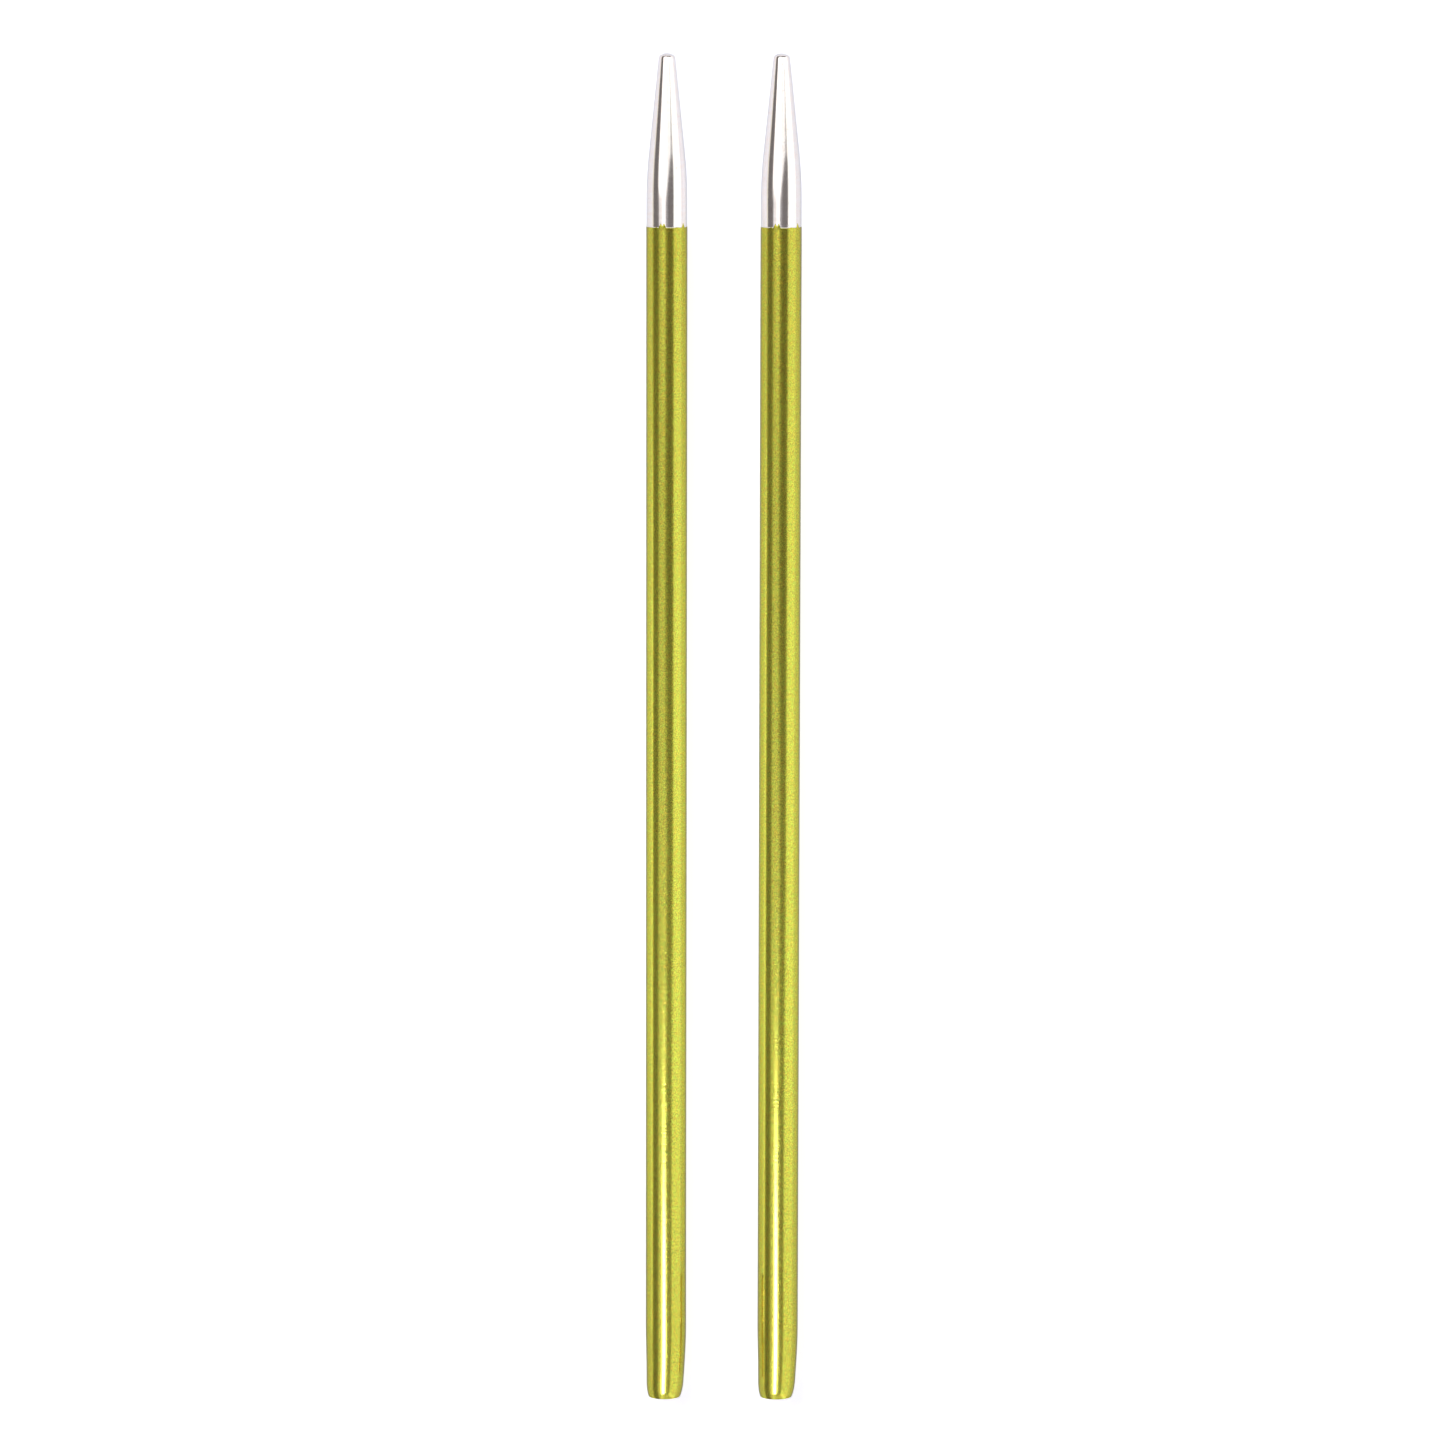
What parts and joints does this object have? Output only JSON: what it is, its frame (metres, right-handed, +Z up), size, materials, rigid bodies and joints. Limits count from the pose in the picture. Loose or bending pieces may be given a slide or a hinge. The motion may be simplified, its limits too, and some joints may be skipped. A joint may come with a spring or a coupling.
{
  "type": "pair of interchangeable knitting needle tips",
  "caption": "Two slim lime-green metal knitting needle tips with bare silver points and threaded tails, lying side by side.",
  "frame": {"origin": "on the surface the needles lie on, midway between them and midway along them", "axes": "+Y along the needles towards their points, +X from the left needle to the right one, +Z up"},
  "size_m": [0.0132, 0.116, 0.0035],
  "materials": {
    "anodised_aluminium": "bright yellow-green anodised over a drawn surface",
    "point_metal": "bare silver metal, polished",
    "insert_brass": "machined brass"
  },
  "bodies": {
    "left_needle": {"left_point": "point_metal", "left_shaft": "anodised_aluminium", "left_tail": "anodised_aluminium", "left_thread_insert": "insert_brass"},
    "right_needle": {"right_point": "point_metal", "right_shaft": "anodised_aluminium", "right_tail": "anodised_aluminium", "right_thread_insert": "insert_brass"}
  },
  "joints": [
    {"name": "right_needle_lift", "type": "slide", "parent": "left_needle", "child": "right_needle", "axis": [0, 0, 1], "range_m": [0, 0.06]}
  ]
}
